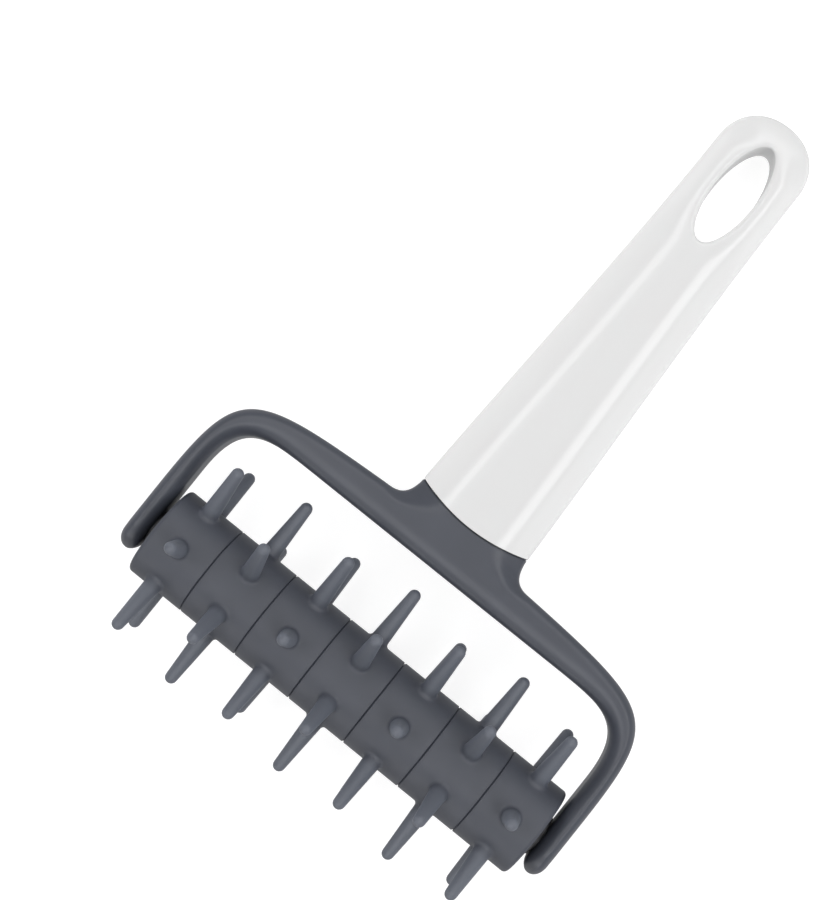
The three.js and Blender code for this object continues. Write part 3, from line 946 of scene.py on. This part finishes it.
def spike_ring_tree():
    """Geometry nodes that set copies of a sector round the roller's axis and join them into a ring."""
    tree = bpy.data.node_groups.new("Sectors into a ring", "GeometryNodeTree")
    for name, direction, kind in (
        ("Sector", "INPUT", "Geometry"),
        ("Sectors", "INPUT", "Int"),
        ("First turn", "INPUT", "Float"),
        ("Place", "INPUT", "Float"),
        ("Merge", "INPUT", "Float"),
        ("Finish", "INPUT", "Material"),
        ("Ring", "OUTPUT", "Geometry"),
    ):
        tree.interface.new_socket(name, in_out=direction, socket_type="NodeSocket" + kind)
    start = add(tree, "NodeGroupInput").outputs
    step = add(tree, "ShaderNodeMath", {0: 2 * math.pi, 1: start["Sectors"]}, operation="DIVIDE")
    turn = add(tree, "ShaderNodeMath", {
        0: add(tree, "GeometryNodeInputIndex").outputs[0], 1: step.outputs[0], 2: start["First turn"],
    }, operation="MULTIPLY_ADD")
    spin = add(tree, "FunctionNodeAxisAngleToRotation", {"Axis": (-1, 0, 0), "Angle": turn.outputs[0]})
    dots = add(tree, "GeometryNodePoints", {"Count": start["Sectors"]})
    copies = add(tree, "GeometryNodeInstanceOnPoints", {
        "Points": dots.outputs[0], "Instance": start["Sector"], "Rotation": spin.outputs[0],
    })
    slide = add(tree, "ShaderNodeCombineXYZ", {"X": start["Place"]})
    placed = add(tree, "GeometryNodeTransform", {
        "Geometry": copies.outputs[0], "Translation": slide.outputs[0],
    })
    whole = add(tree, "GeometryNodeRealizeInstances", {0: placed.outputs[0]})
    merged = add(tree, "GeometryNodeMergeByDistance", {
        "Geometry": whole.outputs[0], "Distance": start["Merge"],
    })
    painted = add(tree, "GeometryNodeSetMaterial", {
        "Geometry": merged.outputs[0], "Material": start["Finish"],
    })
    add(tree, "NodeGroupOutput", {0: painted.outputs[0]})
    return tree


class DOCKER_OT_rings(Operator):
    """Make the seven spike rings. Even rings are turned by half a spike's step"""

    bl_idname = "docker.rings"
    bl_label = "Spike rings"

    def execute(self, context):
        roller = context.scene.docker_roller
        tree = spike_ring_tree()
        inputs = [item for item in tree.interface.items_tree if item.in_out == "INPUT"]
        sockets = {item.name: item.identifier for item in inputs}
        material = ring_plastic(context.scene.docker_colours, roller)
        last = len(RINGS) - 1
        for index, node in enumerate(RINGS):
            is_even = index % 2 == 1
            low, high = BOXES[node][0][0], BOXES[node][1][0]
            place = (index - last / 2) * RING_PITCH
            corner = HALF_STEP / 2 if is_even else -HALF_STEP / 2
            sector = ring_sector(roller, low - place, high - place, index > 0, index < last, corner)
            piece = shaped(node + "_moulding", sector)
            modifier = piece.modifiers.new("ring", "NODES")
            modifier.node_group = tree
            modifier[sockets["Sectors"]] = SPIKES
            modifier[sockets["First turn"]] = HALF_STEP if is_even else 0.0
            modifier[sockets["Place"]] = place
            modifier[sockets["Merge"]] = RING_MERGE
            modifier[sockets["Finish"]] = material
            applied(piece)
            tidy(piece.data, RING_MERGE)
            finished(piece, node, "roller", material)
        return {"FINISHED"}


# Core, axle and bushes
CORE_BEVEL, AXLE_BEVEL, BUSH_EDGE = 0.3 * MM, 0.4 * MM, 0.15 * MM
CORE_CORNER = -math.pi / 12
CORE_TURNS = np.arange(60) * math.pi / 30 + CORE_CORNER


class DOCKER_OT_core(Operator):
    """Make the six-sided core that keys the rings together"""

    bl_idname = "docker.core"
    bl_label = "Roller core"

    def execute(self, context):
        roller = context.scene.docker_roller
        half, bore, flat = roller.core_half, roller.core_bore, roller.core_flat

        def six_sided(half_width, place):
            return [
                around(turn, place, six_sided_radius(turn, CORE_CORNER, half_width))
                for turn in CORE_TURNS
            ]

        loops = [
            circle(bore, CORE_BEVEL - half, CORE_TURNS),
            circle(bore + CORE_BEVEL, -half, CORE_TURNS),
            six_sided(flat - CORE_BEVEL, -half),
            six_sided(flat, CORE_BEVEL - half),
            six_sided(flat, half - CORE_BEVEL),
            six_sided(flat - CORE_BEVEL, half),
            circle(bore + CORE_BEVEL, half, CORE_TURNS),
            circle(bore, half - CORE_BEVEL, CORE_TURNS),
        ]
        piece = shaped("roller_core_bar", mesh_of("roller_core_bar", *skin(loops, closed=True)))
        material = bearing_plastic(context.scene.docker_colours)
        finished(piece, "roller_core", "roller", material, BEVEL_CREASE)
        return {"FINISHED"}


class DOCKER_OT_axle(Operator):
    """Make the ground steel axle with bevelled ends"""

    bl_idname = "docker.axle"
    bl_label = "Axle"

    def execute(self, context):
        roller = context.scene.docker_roller
        radius, half = roller.axle_radius, roller.axle_half
        profile = [
            (-half, 0), (-half, radius - AXLE_BEVEL), (AXLE_BEVEL - half, radius),
            (half - AXLE_BEVEL, radius), (half, radius - AXLE_BEVEL), (half, 0),
        ]
        piece = shaped("axle_rod", turned("axle_rod", profile))
        material = ground_steel(context.scene.docker_colours)
        finished(piece, "axle", "roller", material, BEVEL_CREASE)
        return {"FINISHED"}


class DOCKER_OT_bushes(Operator):
    """Make the two flanged bushes that the axle turns in"""

    bl_idname = "docker.bushes"
    bl_label = "Bushes"

    def execute(self, context):
        roller = context.scene.docker_roller
        material = bearing_plastic(context.scene.docker_colours)
        edge, flange = BUSH_EDGE, roller.flange_radius
        start, end = roller.bush_start, roller.bush_end
        back = start + roller.flange_depth
        bore_end = end - roller.bush_wall
        profile = [
            (bore_end, 0), (bore_end, roller.bush_bore), (start + edge, roller.bush_bore),
            (start, roller.bush_bore + edge), (start, flange - edge), (start + edge, flange),
            (back - edge, flange), (back, flange - edge), (back, roller.spigot_radius),
            (end - edge, roller.spigot_radius), (end, roller.spigot_radius - edge), (end, 0),
        ]
        for node, side in (("left_bush", -1), ("right_bush", 1)):
            mesh = turned(node + "_moulding", [(side * place, radius) for place, radius in profile])
            piece = shaped(node + "_moulding", mesh)
            finished(piece, node, "frame", material, BEVEL_CREASE)
        return {"FINISHED"}


# Materials
def add(tree, kind, inputs=None, **settings):
    """Adds a node, sets it up, and fills or links its inputs."""
    node = tree.nodes.new(kind)
    for name, value in settings.items():
        setattr(node, name, value)
    for name, value in (inputs or {}).items():
        if isinstance(value, bpy.types.NodeSocket):
            tree.links.new(value, node.inputs[name])
        else:
            node.inputs[name].default_value = value
    return node


def new_material(name):
    """An empty material with a surface shader, and the piece's own coordinates."""
    material = bpy.data.materials.get(name) or bpy.data.materials.new(name)
    material.use_nodes = True
    tree = material.node_tree
    tree.nodes.clear()
    shader = add(tree, "ShaderNodeBsdfPrincipled")
    add(tree, "ShaderNodeOutputMaterial", {"Surface": shader.outputs["BSDF"]})
    places = add(tree, "ShaderNodeTexCoord").outputs["Object"]
    return material, tree, shader, places


def noise(tree, places, grain, detail=2.0):
    """Noise whose grains are about as large as the size given."""
    settings = {"Vector": places, "Scale": 1 / grain, "Detail": detail}
    return add(tree, "ShaderNodeTexNoise", settings).outputs["Fac"]


def ranged(tree, value, low, high):
    """A 0 to 1 value moved to another range."""
    settings = {"Value": value, "To Min": low, "To Max": high}
    return add(tree, "ShaderNodeMapRange", settings).outputs["Result"]


def relief(tree, height, strength, depth, below=None):
    """Normals of a surface with a fine relief, on top of a coarser one where that is given."""
    settings = {"Height": height, "Strength": strength, "Distance": depth}
    if below:
        settings["Normal"] = below
    return add(tree, "ShaderNodeBump", settings).outputs["Normal"]


def linked(tree, shader, sources):
    """Links the shader's inputs, by their names, to what makes their values."""
    for name, source in sources.items():
        tree.links.new(source, shader.inputs[name])


# Grain sizes that all the moulded plastics share: how the pigment clouds the colour, how the mould's
# polish varies, and the slow waves that a wall gets as it shrinks, with their depth
CLOUD_GRAIN = 9 * MM
POLISH_GRAIN = 2.5 * MM
WAVE_GRAIN, WAVE_DEPTH = 7 * MM, 0.03 * MM


def moulded(name, body, other, roughness, spread, grain, depth, ior, painted_light=None):
    """A moulded plastic: clouded colour, uneven gloss, a fine mould grain and a slow waviness.

    The roughness varies by its spread either way, and grain and depth are those of the mould's
    surface. The last argument is a paler colour painted on as light, and a function that makes the share of it
    from the places.
    """
    material, tree, shader, places = new_material(name)
    clouds = noise(tree, places, CLOUD_GRAIN, detail=3.0)
    tint = add(tree, "ShaderNodeMix", {"Factor": clouds, "A": body, "B": other}, data_type="RGBA")
    if painted_light:
        pale, painted_light_share = painted_light
        tint = add(tree, "ShaderNodeMix", {
            "Factor": painted_light_share(tree, places), "A": tint.outputs["Result"], "B": pale,
        }, data_type="RGBA")
    polish = noise(tree, places, POLISH_GRAIN)
    surface = noise(tree, places, grain, detail=3.0)
    waves = relief(tree, noise(tree, places, WAVE_GRAIN), strength=0.5, depth=WAVE_DEPTH)
    linked(tree, shader, {
        "Base Color": tint.outputs["Result"],
        "Roughness": ranged(tree, polish, roughness - spread, roughness + spread),
        "Normal": relief(tree, surface, strength=0.6, depth=depth, below=waves),
    })
    shader.inputs["IOR"].default_value = ior
    return material


def slate_plastic(colours):
    """Polypropylene from a finely spark-eroded mould: an even satin with soft, broad highlights."""
    return moulded(
        "moulded satin polypropylene", colours.slate, colours.slate_deep,
        roughness=0.39, spread=0.04, grain=0.35 * MM, depth=0.012 * MM, ior=1.49,
    )


# Height above a ring's body over which a spike turns to its paler tone. That tone is painted light:
# it stands in for the light that a spike's sides get from the floor and from the sides.
PAINTED_LIGHT_HEIGHT = 2.8 * MM


def ring_plastic(colours, roller):
    """The rings' polypropylene, from a coarser mould than the yoke's. Its spikes' paler tone is painted light."""
    def spike_share(tree, places):
        offset = add(tree, "ShaderNodeVectorMath", {
            0: places, 1: ROLLER_JOINT["pos_m"],
        }, operation="SUBTRACT")
        across = add(tree, "ShaderNodeVectorMath", {
            0: offset.outputs[0], 1: (0, 1, 1),
        }, operation="MULTIPLY")
        reach = add(tree, "ShaderNodeVectorMath", {0: across.outputs[0]}, operation="LENGTH")
        return add(tree, "ShaderNodeMapRange", {
            "Value": reach.outputs["Value"],
            "From Min": roller.ring_radius, "From Max": roller.ring_radius + PAINTED_LIGHT_HEIGHT,
        }).outputs["Result"]

    return moulded(
        "moulded matt polypropylene", colours.slate, colours.slate_deep,
        roughness=0.5, spread=0.05, grain=0.4 * MM, depth=0.018 * MM, ior=1.49,
        painted_light=(colours.slate_painted_light, spike_share),
    )


def white_plastic(colours):
    """ABS from a polished mould: white and glossy, with a slight waviness that bends reflections."""
    return moulded(
        "polished white ABS", colours.white, colours.white_warm,
        roughness=0.2, spread=0.03, grain=0.6 * MM, depth=0.002 * MM, ior=1.53,
    )


def bearing_plastic(colours):
    """Moulded acetal: near black and slippery, with a dull sheen."""
    return moulded(
        "black acetal", colours.bearing, colours.bearing,
        roughness=0.38, spread=0.05, grain=0.3 * MM, depth=0.006 * MM, ior=1.48,
    )


def ground_steel(colours):
    """Centreless ground steel rod: fine lines round the rod stretch its highlights along it.

    The lines are drawn 0.12 mm apart, coarser than a real grind, so that they show, and the
    pattern is stretched across the rod to make them long.
    """
    material, tree, shader, places = new_material("ground steel rod")
    stretched = add(tree, "ShaderNodeMapping", {"Vector": places, "Scale": (1, 0.02, 0.02)})
    lines = noise(tree, stretched.outputs[0], 0.12 * MM, detail=4.0)
    linked(tree, shader, {
        "Roughness": ranged(tree, lines, 0.22, 0.36),
        "Normal": relief(tree, lines, strength=0.4, depth=0.004 * MM),
    })
    shader.inputs["Base Color"].default_value = colours.steel
    shader.inputs["Metallic"].default_value = 1.0
    return material


def opal_sheet(colours, glow):
    """Matt opal acrylic over a light table: pale and evenly bright, with a faint blasted grain."""
    material, tree, shader, places = new_material("opal acrylic sheet")
    grain = noise(tree, places, 1.2 * MM, detail=4.0)
    linked(tree, shader, {
        "Roughness": ranged(tree, grain, 0.86, 0.92),
        "Normal": relief(tree, grain, strength=0.1, depth=0.02 * MM),
    })
    shader.inputs["Base Color"].default_value = colours.floor
    shader.inputs["Emission Color"].default_value = colours.floor_light
    shader.inputs["Emission Strength"].default_value = glow
    return material


# Stage
# Soft boxes, all aimed at one place near the docker's middle. Each has a place and a size in metres, the
# setting that holds its power, and what it is seen in. Those in front and behind only shape the
# highlights. Those at the sides only light the plastic, as their reflections would blow out the
# handle's edges.
AIM = (0, 45 * MM, 0)
ALL, REFLECTIONS, LIGHT = "all", "reflections", "light"
SOFT_BOXES = (
    ("left strip", (-0.29, 0.25, 1.05), (0.3, 1.2), "left_strip", ALL),
    ("right strip", (0.54, 0.25, 1.05), (0.45, 1.2), "right_strip", ALL),
    ("front light", (0, -0.5, 0.95), (1.0, 0.45), "front_light", REFLECTIONS),
    ("low front light", (0, -1.1, 0.35), (1.4, 0.6), "low_light", REFLECTIONS),
    ("back light", (0, 1.0, 0.75), (1.0, 0.5), "back_light", REFLECTIONS),
    ("key light", (-0.75, 0.15, 0.55), (0.4, 0.4), "key_light", LIGHT),
    ("left panel", (-0.9, 0.05, 0.24), (0.34, 1.2), "left_light", LIGHT),
    ("right panel", (0.9, 0.05, 0.42), (0.5, 1.2), "right_light", LIGHT),
)

# The camera sees what lies between these distances
NEAREST, FARTHEST = 10 * MM, 20.0


def soft_box(name, place, size, power, seen_in):
    """A rectangular light that faces the docker, with its second side along the handle."""
    lamp = bpy.data.lights.new(name, "AREA")
    lamp.shape = "RECTANGLE"
    lamp.size, lamp.size_y = size
    lamp.energy = power
    light = bpy.data.objects.new(name, lamp)
    bpy.context.scene.collection.objects.link(light)
    back = (Vector(place) - Vector(AIM)).normalized()
    across = Vector((0, 1, 0)).cross(back).normalized()
    turn = Matrix((across, back.cross(across), back)).transposed().to_4x4()
    light.matrix_world = LAID_DOWN @ Matrix.Translation(place) @ turn
    light.visible_diffuse = seen_in != REFLECTIONS
    light.visible_glossy = seen_in != LIGHT


class DOCKER_OT_stage(Operator):
    """Make the camera, the pale floor and the soft lights"""

    bl_idname = "docker.stage"
    bl_label = "Stage"

    def execute(self, context):
        stage, scene = context.scene.docker_stage, context.scene
        self.add_camera(stage, scene)
        self.add_floor(stage, scene)
        self.add_sky(stage, scene)
        for name, place, size, power, seen_in in SOFT_BOXES:
            soft_box(name, place, size, getattr(stage, power), seen_in)
        scene.view_settings.view_transform = "Standard"
        return {"FINISHED"}

    def add_camera(self, stage, scene):
        """The camera, at the photograph's place and angle."""
        lens = bpy.data.cameras.new("camera")
        lens.lens = stage.lens
        lens.clip_start, lens.clip_end = NEAREST, FARTHEST
        camera = bpy.data.objects.new("camera", lens)
        scene.collection.objects.link(camera)
        ahead = Vector(stage.camera_ahead).normalized()
        right = ahead.cross(Vector(stage.camera_up)).normalized()
        turn = Matrix((right, right.cross(ahead), -ahead)).transposed().to_4x4()
        camera.matrix_world = LAID_DOWN @ Matrix.Translation(stage.camera_place) @ turn
        scene.camera = camera

    def add_floor(self, stage, scene):
        """The floor. Reflections leave it out, or the glossy sides of the handle would mirror it
        and their outline would be lost against it."""
        half = stage.floor_half
        corners = [(-half, -half, 0), (half, -half, 0), (half, half, 0), (-half, half, 0)]
        mesh = bpy.data.meshes.new("floor")
        mesh.from_pydata(corners, [], [(0, 1, 2, 3)])
        mesh.materials.append(opal_sheet(scene.docker_colours, stage.floor_glow))
        floor = shaped("floor", mesh)
        floor.visible_glossy = False

    def add_sky(self, stage, scene):
        """Pale surroundings, darker overhead and beyond the end of the handle."""
        world = bpy.data.worlds.new("pale surroundings")
        scene.world = world
        world.use_nodes = True
        tree = world.node_tree
        background = tree.nodes["Background"]
        direction = add(tree, "ShaderNodeTexCoord").outputs["Generated"]
        parts = add(tree, "ShaderNodeSeparateXYZ", {0: direction}).outputs
        light = ranged(tree, parts["Z"], stage.sky_low, stage.sky_top)
        shade = ranged(tree, parts["Y"], 1.0, stage.sky_behind)
        strength = add(tree, "ShaderNodeMath", {0: light, 1: shade}, operation="MULTIPLY")
        tree.links.new(strength.outputs[0], background.inputs["Strength"])
        background.inputs["Color"].default_value = (1, 1, 1, 1)


OPERATORS = (
    DOCKER_OT_handle, DOCKER_OT_yoke, DOCKER_OT_rings, DOCKER_OT_core,
    DOCKER_OT_axle, DOCKER_OT_bushes, DOCKER_OT_stage,
)
SETTINGS = {
    "docker_roller": RollerSizes,
    "docker_yoke": YokeSizes,
    "docker_handle": HandleSizes,
    "docker_colours": FinishColours,
    "docker_stage": StageSettings,
}


class DOCKER_PT_panel(Panel):
    """Lists the docker's pieces and stage, with their settings"""

    bl_idname = "DOCKER_PT_panel"
    bl_label = "Dough docker"
    bl_space_type = "VIEW_3D"
    bl_region_type = "UI"
    bl_category = "Docker"

    def draw(self, context):
        for operator in OPERATORS:
            self.layout.operator(operator.bl_idname)
        for name, group in SETTINGS.items():
            box = self.layout.box()
            for setting in group.__annotations__:
                box.prop(getattr(context.scene, name), setting)


def register():
    for cls in (*SETTINGS.values(), *OPERATORS, DOCKER_PT_panel):
        bpy.utils.register_class(cls)
    for name, group in SETTINGS.items():
        setattr(bpy.types.Scene, name, PointerProperty(type=group))


def unregister():
    for name in SETTINGS:
        delattr(bpy.types.Scene, name)
    for cls in (DOCKER_PT_panel, *reversed(OPERATORS), *reversed(SETTINGS.values())):
        bpy.utils.unregister_class(cls)


def main():
    """Makes every piece and the stage."""
    register()
    for operator in OPERATORS:
        group, name = operator.bl_idname.split(".")
        getattr(getattr(bpy.ops, group), name)()


if __name__ == "__main__":
    main()
